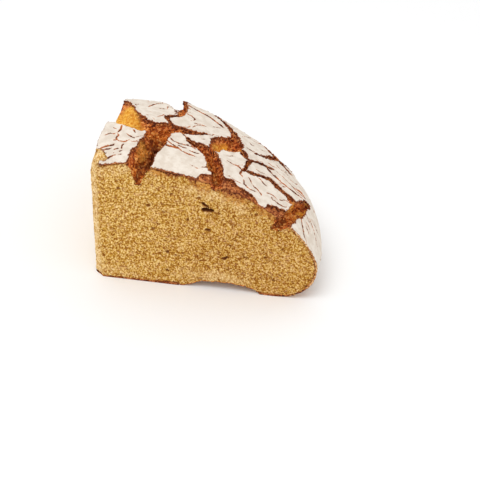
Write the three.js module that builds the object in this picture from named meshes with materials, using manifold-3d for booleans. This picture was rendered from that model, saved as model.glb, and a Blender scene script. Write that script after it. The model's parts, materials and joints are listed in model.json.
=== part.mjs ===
// A quarter of a round country cornbread, in millimetres, +Z up.
// The loaf is a low dome that curls in to a flat base. Its floured crust has burst into plates with
// deep fissures between them, and two upright cuts at a right angle part the quarter from the loaf.
// The loaf is first drawn with X along the front cut, Y along the side cut and the baker's corner
// of the two cuts at the origin. At the end the quarter is moved so that the origin lies on the
// base, under the middle of its box.

import * as THREE from "three";
import { ConvexGeometry } from "three/addons/geometries/ConvexGeometry.js";
import { mergeVertices } from "three/addons/utils/BufferGeometryUtils.js";
import Module from "manifold-3d";

const wasm = await Module();
wasm.setup();

// ---- The loaf ----
const LOAF_RADIUS = 147;
const LOAF_HEIGHT = 96;
const WAIST_HEIGHT = 24; // where the loaf is widest
const CURL = 27; // how far the side draws in between waist and base
const DOME_POWER = 1.12; // 1 is an ellipse, and more makes the shoulder slope sooner
const LOAF_AXIS = new THREE.Vector2(0, 5); // the loaf's middle, a little behind the cuts' corner
const SWELLS = [
  // smooth rises and dips of the dome: each has its middle, its height and its reach both ways
  { x: 8, y: 72, rise: 6, reachX: 38, reachY: 38 }, // sprang higher in the oven
  { x: 50, y: 102, rise: 8, reachX: 22, reachY: 24 },
  { x: 38, y: 96, rise: 5, reachX: 6, reachY: 12 },
  { x: 88, y: 92, rise: 3, reachX: 20, reachY: 16 },
  { x: 128, y: 48, rise: 7, reachX: 18, reachY: 24 },
  { x: 2, y: -3, rise: -8, reachX: 14, reachY: 12 }, // sank at the corner
  { x: 42, y: -2, rise: -4.5, reachX: 46, reachY: 9 }, // pressed down by the knife along the cut
];

// ---- The cuts ----
const SIDE_CUT = -3.5; // the side cut's plane, below the crust
const SIDE_LEAN = { from: 78, to: 90 }; // heights between which the side cut draws in to x = 0
const CORNER = { front: 3, side: 6 }; // the knife took this much of each cut off the corner
const ARCH = { x: 82, halfLength: 27, halfDepth: 42, height: 6 }; // hollow under the front cut

// ---- The fissures ----
// Each route is a row of [x, y, width at the crust, depth below it, lean]. The lean moves the
// bottom of the split towards its right-hand lip, looking along the route.
const FISSURES = {
  frontSplit: [
    [30.2, -6, 16, 11, 0.5], [30.8, 4, 15.5, 12.5, 1], [32.2, 12, 13.5, 15, 3],
    [34, 18, 14.5, 18, 4], [35.3, 26, 14.5, 19, 3], [35, 40, 14, 18, 2],
  ],
  sideBurst: [
    [38, 42, 11, 15, -2], [24, 40.5, 15, 16, -3], [13.5, 45, 20.5, 17, -4], [5, 50.5, 26, 19, -6],
    [-3.6, 57, 38, 20, -8], [-13, 67, 44, 20, -8],
  ],
  crossSplit: [
    [34, 42, 13, 15, 0], [40, 46.5, 13, 12, 0], [45, 49, 9, 9, 0], [50, 49.5, 9, 7, 0],
    [55, 51.5, 7, 5, 0], [59, 53, 3.5, 3, 0], [63, 56, 2, 2, 0],
  ],
  middleSplit: [
    [52, 40.5, 1.5, 2, 0], [55, 37.2, 3.5, 5, -1], [59, 34.5, 6.5, 8, -1], [64, 34.5, 9.5, 11, -1],
    [69, 31, 11.5, 13, -2], [73, 25, 11, 14, -2], [76.3, 18.5, 8.5, 14, -2], [79.5, 11, 7, 11, -1],
    [81, 3, 7, 6, 0], [82, -6, 7, 3.5, 0],
  ],
  tornPocket: [
    [71.5, 36, 6, 8, 0], [71.5, 43, 9, 7, 0], [75.5, 50, 19, 7, 0], [77.8, 56, 19, 8, 0],
    [79.8, 63, 13, 8, 0], [79, 69, 7, 7, 0],
  ],
  crownSplit: [
    [79, 69, 7, 7, 0], [76.5, 76, 4.5, 6, 0], [72.5, 83, 4, 5, 0], [68, 90, 4, 5, 0],
    [62, 96.5, 4, 5, 0], [54, 103, 4, 4, 0],
  ],
  shoulderSplit: [
    [86, 54, 6, 6, 0], [90.8, 45.4, 4, 5, 0], [94, 42.8, 3.5, 5, 0], [98, 46.5, 3.5, 5, 0],
    [103, 48.4, 3, 4, 0], [108, 49, 2, 3, 0],
  ],
  shortLink: [[93.5, 42, 3, 4, 0], [94, 35, 2.5, 4, 0], [93.8, 28, 2.5, 3, 0]],
  rimSplit: [
    [91.8, 26.2, 2, 3, 0], [98, 27.7, 3, 4, 0], [104, 30, 3.5, 4.5, 0], [109, 31.8, 3.5, 5, 0],
    [113, 30, 3.5, 5, 0], [117, 26.8, 4, 5, 0], [122, 26, 5, 6, 0], [128, 24, 8, 8, 0],
  ],
  frontNotch: [
    [125.3, -6, 8, 9, -4], [126, 4, 7.5, 10, -2.5], [127.8, 13, 7.5, 10, 0],
    [130.3, 24, 11, 8, 0], [132, 33, 9, 7, 0], [134, 41, 4, 4, 0],
  ],
  topSplit: [
    [40, 52, 3, 4, 0], [36.5, 56.5, 2.5, 3, 0], [34, 60.5, 4, 3, 0], [36.5, 64.7, 3, 3, 0],
    [40, 68, 2, 2.5, 0], [41.5, 73, 4.5, 4, 0.5], [39, 80, 9.5, 6, 2], [35.5, 88, 11, 7, 3.5],
    [30.5, 97, 10, 8, 4.5], [27, 115, 11, 10, 3], [26, 124, 9, 7, 2], [22, 131, 5, 5, 1],
    [21, 137, 2, 2, 0],
  ],
  backLink: [
    [94, 60.5, 2.5, 3, 0], [98.5, 61.5, 3.5, 4, 0], [101.5, 65, 4.5, 5, 0], [103.5, 72, 5, 5, 0],
    [107, 78, 5, 5, 0],
  ],
  backShoulder: [[88, 100, 6, 6, 0], [97, 89, 6, 6, 0], [107, 77, 6, 6, 0], [117, 65, 3, 3, 0]],
  backRing: [
    [-8, 108, 11, 8, 0], [12, 105, 9, 8, 0], [27, 108, 8, 8, 0], [43, 112, 8, 8, 0],
    [56, 105, 7, 7, 0],
  ],
  backRingEnd: [[56, 105, 7, 7, 0], [72, 111, 8, 8, 0], [88, 100, 7, 7, 0], [96, 104, 3, 3, 0]],
  backFall: [[43, 112, 7, 8, 0], [50, 119, 6, 6, 0], [49, 127, 4, 5, 0], [56, 135, 2, 2, 0]],
  backBranch: [[50, 120, 4, 5, 0], [61, 121, 3.5, 4, 0], [71, 118, 2, 2, 0]],
  sideFall: [[12, 105, 7, 8, 0], [8, 114, 5, 6, 0], [11, 122, 3.5, 4, 0], [6, 130, 2, 2, 0]],
  rimFall: [[107, 78, 5, 5, 0], [115, 83, 3.5, 4, 0], [115, 91, 2, 2, 0]],
};
const CUTTER_LIFT = 7; // how far each cutter stands out of the crust
const CUTTER_OVERLAP = 0.3; // how far each cutter reaches into the next one on its route
const FLOOR_SHARE = 0.25; // the bottom of a split, as a share of its width at the crust
const STEEPEST = 0.985; // share of the radius past which the crust's slope is taken as constant

// ---- The crust's surface ----
function swellAt(x, y) {
  let rise = 0;
  for (const swell of SWELLS) {
    const apart = Math.hypot((x - swell.x) / swell.reachX, (y - swell.y) / swell.reachY);
    rise += swell.rise * Math.exp(-apart * apart);
  }
  return rise;
}

// Height of the unbroken crust over a place in plan.
function crustHeight(x, y) {
  const share = Math.min(Math.hypot(x - LOAF_AXIS.x, y - LOAF_AXIS.y) / LOAF_RADIUS, STEEPEST);
  const dome = Math.pow(1 - share * share, DOME_POWER / 2);
  return WAIST_HEIGHT + dome * (LOAF_HEIGHT - WAIST_HEIGHT + swellAt(x, y));
}

function crustPoint(x, y) {
  return new THREE.Vector3(x, y, crustHeight(x, y));
}

function crustNormal(x, y) {
  const step = 0.5;
  const slopeX = (crustHeight(x + step, y) - crustHeight(x - step, y)) / (2 * step);
  const slopeY = (crustHeight(x, y + step) - crustHeight(x, y - step)) / (2 * step);
  return new THREE.Vector3(-slopeX, -slopeY, 1).normalize();
}

// ---- Between three.js and manifold-3d ----
function toSolid(geometry) {
  const bare = geometry.clone();
  bare.deleteAttribute("normal");
  bare.deleteAttribute("uv");
  const merged = mergeVertices(bare, 1e-3);
  return new wasm.Manifold(
    new wasm.Mesh({
      numProp: 3,
      vertProperties: new Float32Array(merged.attributes.position.array),
      triVerts: new Uint32Array(merged.index.array),
    }),
  );
}

function toGeometry(solid) {
  const mesh = solid.getMesh();
  const geometry = new THREE.BufferGeometry();
  geometry.setAttribute("position", new THREE.BufferAttribute(mesh.vertProperties, 3));
  geometry.setIndex(new THREE.BufferAttribute(mesh.triVerts, 1));
  geometry.computeVertexNormals();
  return geometry;
}

// ---- The whole loaf ----
function loafProfile() {
  const profile = [new THREE.Vector2(0, 0)];
  const curlSteps = 7;
  for (let i = 0; i <= curlSteps; i++) {
    const turn = (Math.PI / 2) * (1 - i / curlSteps);
    const radius = LOAF_RADIUS - CURL + CURL * Math.cos(turn);
    profile.push(new THREE.Vector2(radius, WAIST_HEIGHT * (1 - Math.sin(turn))));
  }
  const domeSteps = 24;
  for (let i = 1; i <= domeSteps; i++) {
    const turn = (Math.PI / 2) * (1 - i / domeSteps);
    const rise = Math.pow(Math.cos(turn), DOME_POWER) * (LOAF_HEIGHT - WAIST_HEIGHT);
    profile.push(new THREE.Vector2(LOAF_RADIUS * Math.sin(turn), WAIST_HEIGHT + rise));
  }
  return profile;
}

function wholeLoaf() {
  const roundSteps = 100;
  const loaf = new THREE.LatheGeometry(loafProfile(), roundSteps);
  loaf.rotateX(Math.PI / 2);
  loaf.translate(LOAF_AXIS.x, LOAF_AXIS.y, 0);
  const place = loaf.attributes.position;
  for (let i = 0; i < place.count; i++) {
    const dome = (place.getZ(i) - WAIST_HEIGHT) / (LOAF_HEIGHT - WAIST_HEIGHT);
    const swell = Math.max(dome, 0) * swellAt(place.getX(i), place.getY(i));
    place.setZ(i, place.getZ(i) + swell);
  }
  return loaf;
}

// ---- What the cuts leave ----
// The plan of the quarter, with its corner taken off, as an upright prism taller than the loaf.
function quarterPrism() {
  const reach = LOAF_RADIUS * 1.5;
  const plan = new THREE.Shape();
  plan.moveTo(CORNER.front, 0);
  plan.lineTo(reach, 0);
  plan.lineTo(reach, reach);
  plan.lineTo(SIDE_CUT, reach);
  plan.lineTo(SIDE_CUT, CORNER.side);
  plan.closePath();
  const prism = new THREE.ExtrudeGeometry(plan, { depth: LOAF_HEIGHT * 2, bevelEnabled: false });
  prism.translate(0, 0, -LOAF_HEIGHT / 2);
  return prism;
}

// A long bar that pares the top of the side cut back to the crust's own edge.
function sideParing() {
  const clear = 20;
  const section = new THREE.Shape();
  section.moveTo(SIDE_CUT, SIDE_LEAN.from);
  section.lineTo(0, SIDE_LEAN.to);
  section.lineTo(0, LOAF_HEIGHT + clear);
  section.lineTo(SIDE_CUT - clear, LOAF_HEIGHT + clear);
  section.lineTo(SIDE_CUT - clear, SIDE_LEAN.from);
  section.closePath();
  const length = LOAF_RADIUS + clear * 2;
  const bar = new THREE.ExtrudeGeometry(section, { depth: length, bevelEnabled: false });
  bar.rotateX(Math.PI / 2);
  bar.translate(0, length - clear, 0);
  return bar;
}

function baseArch() {
  const hollow = new THREE.SphereGeometry(1, 32, 16);
  hollow.scale(ARCH.halfLength, ARCH.halfDepth, ARCH.height);
  hollow.translate(ARCH.x, 0, 0);
  return hollow;
}

// ---- The fissures as cutters ----
// Four corners of a trough across a fissure: two lips above the crust and two on its floor.
function troughSection([x, y, width, depth, lean], along) {
  const out = crustNormal(x, y);
  const across = new THREE.Vector3().crossVectors(along, out).normalize();
  const floorHalf = (width / 2) * FLOOR_SHARE;
  const lipHalf = floorHalf + (width / 2 - floorHalf) * ((depth + CUTTER_LIFT) / depth);
  const lip = crustPoint(x, y).addScaledVector(out, CUTTER_LIFT)
    .addScaledVector(across, -lean * (CUTTER_LIFT / depth)); // so that the crust is met at [x, y]
  const floor = crustPoint(x, y).addScaledVector(out, -depth).addScaledVector(across, lean);
  return [
    lip.clone().addScaledVector(across, lipHalf),
    lip.clone().addScaledVector(across, -lipHalf),
    floor.clone().addScaledVector(across, floorHalf),
    floor.clone().addScaledVector(across, -floorHalf),
  ];
}

// The way a route runs at one of its points, halfway between the stretches that meet there.
function alongRoute(route, i) {
  const [fromX, fromY] = route[Math.max(i - 1, 0)];
  const [toX, toY] = route[Math.min(i + 1, route.length - 1)];
  return crustPoint(toX, toY).sub(crustPoint(fromX, fromY)).normalize();
}

// One hull per stretch of the route. Each reaches a little past both of its ends, into its
// neighbours, so that no thin leaf of bread is left standing between them.
function fissureCutters(route) {
  const cutters = [];
  for (let i = 1; i < route.length; i++) {
    const stretch = [];
    for (const [at, way] of [[i - 1, -1], [i, 1]]) {
      const along = alongRoute(route, at);
      for (const corner of troughSection(route[at], along)) {
        stretch.push(corner.addScaledVector(along, way * CUTTER_OVERLAP));
      }
    }
    cutters.push(toSolid(new ConvexGeometry(stretch)));
  }
  return cutters;
}

function cutQuarter() {
  const splits = Object.values(FISSURES).flatMap(fissureCutters);
  const cut = toSolid(wholeLoaf())
    .intersect(toSolid(quarterPrism()))
    .subtract(toSolid(sideParing()))
    .subtract(toSolid(baseArch()))
    .subtract(wasm.Manifold.union(splits));
  // Where several splits meet, they can part a crumb from the bread: only the bread is kept.
  const parts = cut.decompose();
  return parts.reduce((bread, part) => (part.volume() > bread.volume() ? part : bread));
}

// ---- The finished piece ----
const bread = new THREE.Group();

const cornbreadGeometry = toGeometry(cutQuarter());
cornbreadGeometry.computeBoundingBox();
const middle = cornbreadGeometry.boundingBox.getCenter(new THREE.Vector3());

const cornbreadMaterial = new THREE.MeshStandardMaterial({
  color: 0xc9a45c,
  roughness: 0.92,
  metalness: 0,
});
const cornbread = new THREE.Mesh(cornbreadGeometry, cornbreadMaterial);
cornbread.name = "cornbread";
cornbread.position.set(-middle.x, -middle.y, 0);
bread.add(cornbread);

export default bread;
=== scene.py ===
# %% [markdown]
# A quarter of a round country cornbread stands on a table. It was baked in one piece, but the eye
# reads three stuffs: the open yellow crumb on the two cuts, the rough brown bread that shows where
# the crust burst, and the floured plates of crust that lie on top. The crumb is modelled as one
# closed body, and the plates as two pieces that lie on it, one in front and one behind. The packed
# solid gives the place and the size of them all, so it is loaded first.

# %% Load the frame
import bpy
import numpy as np
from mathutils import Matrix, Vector
from mathutils.kdtree import KDTree
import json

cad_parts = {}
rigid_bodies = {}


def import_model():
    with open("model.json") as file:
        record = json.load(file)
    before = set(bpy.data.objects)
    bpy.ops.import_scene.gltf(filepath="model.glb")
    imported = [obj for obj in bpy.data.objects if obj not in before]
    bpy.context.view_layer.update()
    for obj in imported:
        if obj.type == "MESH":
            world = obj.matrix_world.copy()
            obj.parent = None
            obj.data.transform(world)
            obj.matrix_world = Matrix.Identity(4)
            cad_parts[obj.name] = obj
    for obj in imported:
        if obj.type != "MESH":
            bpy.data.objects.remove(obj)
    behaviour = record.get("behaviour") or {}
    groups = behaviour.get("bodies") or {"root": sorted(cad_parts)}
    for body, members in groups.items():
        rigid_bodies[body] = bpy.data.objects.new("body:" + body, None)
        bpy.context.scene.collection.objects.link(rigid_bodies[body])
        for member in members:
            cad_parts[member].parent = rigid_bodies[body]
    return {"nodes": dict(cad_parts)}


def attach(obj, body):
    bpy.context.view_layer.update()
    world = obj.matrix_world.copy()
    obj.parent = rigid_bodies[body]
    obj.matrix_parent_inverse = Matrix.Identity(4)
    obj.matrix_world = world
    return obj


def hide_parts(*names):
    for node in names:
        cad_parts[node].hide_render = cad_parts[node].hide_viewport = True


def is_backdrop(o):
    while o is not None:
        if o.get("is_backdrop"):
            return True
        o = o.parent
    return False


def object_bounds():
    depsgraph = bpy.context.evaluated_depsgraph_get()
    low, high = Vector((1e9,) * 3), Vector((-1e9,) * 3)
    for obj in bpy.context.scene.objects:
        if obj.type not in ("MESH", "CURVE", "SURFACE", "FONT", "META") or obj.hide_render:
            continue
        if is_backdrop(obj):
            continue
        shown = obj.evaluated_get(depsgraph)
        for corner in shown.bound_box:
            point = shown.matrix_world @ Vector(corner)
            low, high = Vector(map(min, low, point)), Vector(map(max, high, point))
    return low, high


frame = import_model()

MM = 0.001
cad_low, cad_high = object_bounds()
print("solid box in mm:", [round(v / MM, 1) for v in (*cad_low, *cad_high)])

# %% [markdown]
# The loaf is easiest to describe where the baker's two cuts meet: X runs along the front cut,
# Y along the side cut, both in millimetres. The unbroken crust is a dome that curls in to the
# base, with a few swells where the dough sprang or sank. A place's share of the loaf is 1 on that
# crust and less inside it, and its slope turns the share into a depth in millimetres.

# %% The loaf's own shape
SIDE_CUT = -3.5                    # where the side cut lies, left of the corner
SIDE_LEAN = (78, 90)               # heights between which the side cut draws in to x = 0
CORNER = (3, 6)                    # what the knife took off the corner, along X and along Y
LOAF_AXIS = (0, 5)
LOAF_RADIUS, LOAF_HEIGHT = 147, 96
WAIST_HEIGHT, CURL = 24, 27
DOME_POWER = 1.12
SWELLS = [                         # x, y, height and both reaches of each rise or dip of the dome
    (8, 72, 6, 38, 38), (50, 102, 8, 22, 24), (38, 96, 5, 6, 12), (88, 92, 3, 20, 16),
    (128, 48, 7, 18, 24), (2, -3, -8, 14, 12), (42, -2, -4.5, 46, 9),
]

corner = Vector((cad_low.x - SIDE_CUT * MM, cad_low.y, 0))


def swell(x, y):
    """How far the dome rises or dips over x, y."""
    return sum(rise * np.exp(-((x - sx) / rx) ** 2 - ((y - sy) / ry) ** 2)
               for sx, sy, rise, rx, ry in SWELLS)


def loaf_share(places):
    """1 on the unbroken crust, and less inside it."""
    x, y, z = places.T
    radius = np.hypot(x - LOAF_AXIS[0], y - LOAF_AXIS[1])
    up = np.clip((z - WAIST_HEIGHT) / (LOAF_HEIGHT - WAIST_HEIGHT + swell(x, y)), 0, None)
    dome = np.sqrt((radius / LOAF_RADIUS) ** 2 + up ** (2 / DOME_POWER))
    curl = np.hypot(np.clip(radius - LOAF_RADIUS + CURL, 0, None) / CURL,
                    (WAIST_HEIGHT - z) / WAIST_HEIGHT)
    return np.where(z < WAIST_HEIGHT, curl, dome)


def crust_depth(places):
    """Depth below the unbroken crust in mm, and the way straight out through it."""
    step = 0.05
    share = loaf_share(places)
    slope = np.stack([(loaf_share(places + step * axis) - share) / step for axis in np.eye(3)], 1)
    steepness = np.linalg.norm(slope, axis=1) + 1e-9
    return (1 - share) / steepness, slope / steepness[:, None]


def crust_top(x, y):
    """The place on the unbroken crust over x, y."""
    x, y = np.asarray(x, float), np.asarray(y, float)
    share = np.minimum(np.hypot(x - LOAF_AXIS[0], y - LOAF_AXIS[1]) / LOAF_RADIUS, 0.995)
    dome = (1 - share ** 2) ** (DOME_POWER / 2)
    return np.stack([x, y, WAIST_HEIGHT + dome * (LOAF_HEIGHT - WAIST_HEIGHT + swell(x, y))], -1)


def behind_side_cut(places):
    """How far a place lies behind the side cut, which draws in near the top."""
    lean = np.clip((places[:, 2] - SIDE_LEAN[0]) / (SIDE_LEAN[1] - SIDE_LEAN[0]), 0, 1)
    return places[:, 0] - SIDE_CUT * (1 - lean)


def behind_cuts(places):
    """How far a place lies behind the nearest of the two cuts and the facet between them."""
    x, y = places[:, 0], places[:, 1]
    across = np.array([CORNER[1], CORNER[0] - SIDE_CUT]) / np.hypot(CORNER[1], CORNER[0] - SIDE_CUT)
    facet = (x - CORNER[0]) * across[0] + y * across[1]
    return np.minimum(np.minimum(y, behind_side_cut(places)), facet)


def from_stretch(places, a, b):
    """Distance of each place from the stretch a to b, and how far along it that is, 0 to 1."""
    along = np.clip(((places - a) @ (b - a)) / ((b - a) @ (b - a)), 0, 1)
    return np.linalg.norm(places - a - along[:, None] * (b - a), axis=1), along


# %% [markdown]
# Bread is uneven everywhere, so it takes smooth noise for lumps, round pits for bubbles, and a way
# to read and write all of a mesh's points at once. Lumps and bubbles hash whole numbers, so they
# need no random state and give the same bread on every run.

# %% Helpers: points, noise and modifiers
def read(piece, layer="vertices", field="co"):
    """One row of three numbers for each point or face."""
    data = getattr(piece.data, layer)
    values = np.zeros(len(data) * 3)
    data.foreach_get(field, values)
    return values.reshape(-1, 3)


def places_of(piece):
    """All points in mm from the loaf's corner."""
    return (read(piece) - np.array(corner)) / MM


def place(piece, places):
    """Puts all points at these places."""
    piece.data.vertices.foreach_set("co", (places * MM + np.array(corner)).astype(np.float32).ravel())
    piece.data.update()


def place_within_cuts(piece, places):
    """The same, with nothing in front of the two cuts."""
    places[:, 1] = np.maximum(places[:, 1], 0)
    places[:, 0] = np.maximum(places[:, 0], SIDE_CUT)
    place(piece, places)


def hashed(cells, seed):
    """A fixed number from 0 to 1 for every cell of a grid."""
    mixed = (cells.astype(np.int64) * np.array([73856093, 19349663, 83492791])).sum(-1)
    mixed = mixed + seed * 39916801
    mixed = ((mixed ^ (mixed >> 13)) * 1274126177) & 0x7FFFFFFF
    mixed = ((mixed ^ (mixed >> 15)) * 668265263) & 0x7FFFFFFF
    return ((mixed ^ (mixed >> 13)) & 0xFFFFF) / 0xFFFFF


def lumps(places, size, seed):
    """Smooth noise from -1 to 1 with lumps about size mm across."""
    grid = places / size
    cell = np.floor(grid)
    ease = grid - cell
    ease = ease * ease * (3 - 2 * ease)
    total = 0
    for step in np.ndindex(2, 2, 2):
        share = np.where(np.array(step, bool), ease, 1 - ease).prod(axis=1)
        total = total + share * hashed(cell + step, seed)
    return 2 * total - 1


def way_lumps(places, size, seed):
    """Smooth noise that pushes in all three directions."""
    return np.stack([lumps(places, size, seed + k) for k in range(3)], 1)


def bubbles(places, spacing, smallest, largest, seed):
    """Depth in mm of the round bubble that each place lies in, and 0 between the bubbles."""
    grid = places / spacing
    cell = np.floor(grid)
    deepest = np.zeros(len(places))
    for step in np.ndindex(3, 3, 3):
        home = cell + np.array(step) - 1
        middle = home + np.stack([hashed(home, seed + k) for k in range(3)], 1)
        radius = smallest + (largest - smallest) * hashed(home, seed + 3) ** 2
        away = np.linalg.norm(grid - middle, axis=1) * spacing / radius
        deepest = np.maximum(deepest, radius * np.clip(1 - away ** 2, 0, 1))
    return deepest


def ease_in(values, start, end):
    """0 up to start, 1 from end on, and a soft step between."""
    share = np.clip((values - start) / (end - start), 0, 1)
    return share * share * (3 - 2 * share)


def choose(piece):
    bpy.ops.object.select_all(action="DESELECT")
    piece.select_set(True)
    bpy.context.view_layer.objects.active = piece


def mode(name):
    bpy.ops.object.mode_set(mode=name)


def edit_all():
    """Opens the active piece in edit mode with everything selected."""
    mode("EDIT")
    bpy.ops.mesh.select_all(action="SELECT")


def select_faces(piece, wanted):
    """Opens the piece in edit mode with only these faces selected."""
    choose(piece)
    mode("EDIT")
    bpy.ops.mesh.select_all(action="DESELECT")
    mode("OBJECT")
    piece.data.polygons.foreach_set("select", wanted)
    mode("EDIT")


def join(parts):
    """Makes one piece of them, which is the first."""
    choose(parts[0])
    for part in parts:
        part.select_set(True)
    if len(parts) > 1:
        bpy.ops.object.join()
    return parts[0]


def finish_with(piece, kind, **settings):
    """Adds one modifier and applies it."""
    choose(piece)
    bpy.ops.object.modifier_add(type=kind)
    modifier = piece.modifiers[-1]
    for name, value in settings.items():
        setattr(modifier, name, value)
    bpy.ops.object.modifier_apply(modifier=modifier.name)


def note(piece, name, values):
    """Keeps one number for each point, for a material to read."""
    layer = piece.data.attributes.get(name) or piece.data.attributes.new(name, "FLOAT", "POINT")
    layer.data.foreach_set("value", values.astype(np.float32))


def noted(piece, name):
    values = np.zeros(len(piece.data.vertices))
    piece.data.attributes[name].data.foreach_get("value", values)
    return values


# %% [markdown]
# The body starts as a copy of the solid, whose flat facets are far too plain for bread. A voxel
# remesh gives it an even skin of half-millimetre squares, fine enough to carry bubbles and torn
# edges as true shape. Subdividing the facets instead would leave long thin triangles.

# %% The body: copy, merge, remesh
SKIN = 0.5                         # voxel size in mm
SAME_POINT = 0.001                 # points closer than this are merged, so the body is closed

choose(frame["nodes"]["cornbread"])
bpy.ops.object.duplicate()
crumb = bpy.context.object
crumb.name = "crumb"
bpy.ops.object.parent_clear(type="CLEAR_KEEP_TRANSFORM")
for key in list(crumb.keys()):
    del crumb[key]
crumb.data.materials.clear()
edit_all()
bpy.ops.mesh.remove_doubles(threshold=SAME_POINT * MM)
mode("OBJECT")
finish_with(crumb, "REMESH", mode="VOXEL", voxel_size=SKIN * MM)
print("body:", len(crumb.data.vertices), "points")

# %% [markdown]
# Four kinds of surface meet on the body, and each gets its own treatment: the cuts, the base, the
# crust that the plates will cover, and the torn walls of the splits. They are told apart by how
# far a point lies below the crust and behind the cuts.

# %% Zones of the body
CRUST_SKIN = 0.6                   # how far below the unbroken crust still counts as crust
CUT_SKIN = 0.3                     # the same for the cuts
BASE_TOP = 8                       # the hollow under the front cut stays below this height
LEVEL = 0.72                       # how far up a face of the sunk plate looks, at least
BARE_FOOT = 7                      # height below which the loaf's side carries no flour
WORN_RIM = 1.5                     # how far round a crumbled stretch the crumb shows
CRUMBLED = (((0, 6, 4.2), (5.3, 4.8, 3.1)), ((0, 4, 4), (2, 1.5, 2.2)))    # worn down to the crumb
BARE_PATCHES = [                   # x, y, radius of each end of a stretch that lost its flour
    ((71, 0, 2.5), (79, 3, 5)), ((81, 3, 6), (88, 3, 5.5)), ((88, 2, 5.5), (96, 1, 3.8)),
    ((96, 1, 3.8), (104, 0, 3.5)), ((104, 0, 3), (108, -1.5, 1.5)), ((116, 1, 3.2), (124, 4, 5)),
    ((71, 20, 1.5), (75.5, 11.5, 1.8)), *CRUMBLED,
]
GOLD_SPOTS = [                     # x, y, depth below the crust, reach and strength of each
    (2, 54, 9, 20, 1), (12, 46, 9, 13, 1), (7, 62, 5, 11, 1), (74, 51, 5, 7, 0.8), (79, 57, 5, 8, 0.95),
    (126, 23, 4, 7, 0.9), (131, 44, 1, 4, 0.8), (132, 31, 4, 6, 0.9), (72, 17, 2, 5, 0.5),
    (24, 20, 8, 11, 0.45),
]
SUNK_PLATE = ((35, 83, 5.5), (28, 110, 7))    # the floured crust that slopes down into a split


def near_stretch(places, start, end):
    """Distance in mm from a stretch whose ends lie on the crust, less its radius there."""
    away, along = from_stretch(places, crust_top(*start[:2]), crust_top(*end[:2]))
    return away - (start[2] + (end[2] - start[2]) * along)


def bare(places):
    """Below 0 where the crust carries no plate."""
    field = places[:, 2] - BARE_FOOT - 2 * lumps(places, 6, 31)
    for start, end in BARE_PATCHES:
        field = np.minimum(field, near_stretch(places, start, end) + 1.2 * lumps(places, 3, 32))
    return field


places = places_of(crumb)
outwards = read(crumb, "vertices", "normal")
depth, crust_way = crust_depth(places)
behind = behind_cuts(places)
is_base = (outwards[:, 2] < -0.6) & (places[:, 2] < BASE_TOP)
is_cut = (behind < CUT_SKIN) & ~is_base
gold = np.zeros(len(places))
for x, y, below, reach, share in GOLD_SPOTS:
    away = np.linalg.norm(places - crust_top(x, y) + [0, 0, below], axis=1)
    near = 1 - ease_in(away + 2 * lumps(places, 5, 33), 0.5 * reach, reach)
    gold = np.maximum(gold, share * near)
is_sloping = (near_stretch(places, *SUNK_PLATE) < 0) & (outwards[:, 2] > LEVEL)
worn = np.min([near_stretch(places, *stretch) for stretch in CRUMBLED], axis=0) < WORN_RIM
print("points on cuts, base, sunk plate:", is_cut.sum(), is_base.sum(), is_sloping.sum())

# %% [markdown]
# A few splits go deeper than the solid has them, and are sunk first. The hollow under the front
# cut ends too hard at its left, so the crumb over it is let down there to a soft end. A split in
# baked crust never has a clean edge: all points are pushed about by three sizes of noise, which
# bends straight lips into ragged ones. Points on the dome, on the cuts and on the base only slide
# along their own surface, so the loaf keeps its shape and its size.

# %% Clefts and ragged lips
CLEFTS = [                         # how far down, how wide, the floor's depth below the crust, route
    (5, 4.5, 9, [(30, -2), (31, 3), (34, 8), (36, 14), (36, 20), (37.5, 27)]),
    (3, 3.5, 7, [(71, 19), (73, 25), (76, 22), (78.5, 14), (79, 9)]),
    (3, 3, 6, [(128, 12), (130, 20), (134, 29), (133, 35)]),
]
CLEFT_FOOT = (30, 40)              # heights between which the clefts set in
ARCH_MIDDLE, ARCH_REACH, ARCH_RISE = 82, (27, 42), 6    # the hollow under the front cut
ARCH_FADE = 12                     # up to this height the crumb is let down
WANDER = [(0.8, 8, 1), (0.55, 3, 5), (0.3, 1.4, 9)]     # strength, size and seed of each noise
CORNER_HOLD = (8, 14)              # how far round the corner the wander sets in

for down, wide, below, route in CLEFTS:
    away = np.full(len(places), 1e9)
    for a, b in zip(np.array(route, float), np.array(route[1:], float)):
        away = np.minimum(away, from_stretch(places[:, :2], a, b)[0])
    share = (1 - ease_in(away, 0, wide)) * (1 - ease_in(depth, below + 1, below + 9))
    share *= ease_in(depth, 0.5, 3) * ease_in(places[:, 2], *CLEFT_FOOT)
    places[:, 2] -= down * share
wander = sum(strength * way_lumps(places, size, seed) for strength, size, seed in WANDER)
away = np.hypot((places[:, 0] - ARCH_MIDDLE) / ARCH_REACH[0], places[:, 1] / ARCH_REACH[1])
arch = ARCH_RISE * np.sqrt(np.clip(1 - away ** 2, 0, 1))
softer = arch * np.where(places[:, 0] < ARCH_MIDDLE, ease_in(1 - away, 0, 0.6), 1)
over = np.clip(places[:, 2] - arch, 0, None)
lowered = softer + over * (ARCH_FADE - softer) / (ARCH_FADE - arch)
places[:, 2] = np.where((away < 1) & (places[:, 2] < ARCH_FADE), lowered, places[:, 2])
hold = 1 - ease_in(depth, 1, 4)
wander -= hold[:, None] * (wander * crust_way).sum(1)[:, None] * crust_way
off_corner = ease_in(np.hypot(places[:, 0], places[:, 1]), *CORNER_HOLD)
wander[:, 0] *= ease_in(behind_side_cut(places), 0, 4) * off_corner
wander[:, 1] *= ease_in(places[:, 1], 0, 4) * off_corner
wander[:, 2] *= ease_in(places[:, 2], 0.5, 6)
places = places + wander
place(crumb, places)

# %% [markdown]
# The plates are the crust's own faces, lifted off the body. Taking them from the body, instead of
# drawing them apart, makes every plate fit its bed. Crumbs of crust too small to be a plate are
# thrown away, and what is left has its outline smoothed.

# %% Lift the plates off the body
SMALLEST_PLATE = 16                # mm2
FAR_PLATES = 55                    # plates whose middle lies beyond this y make up the far piece

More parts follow.
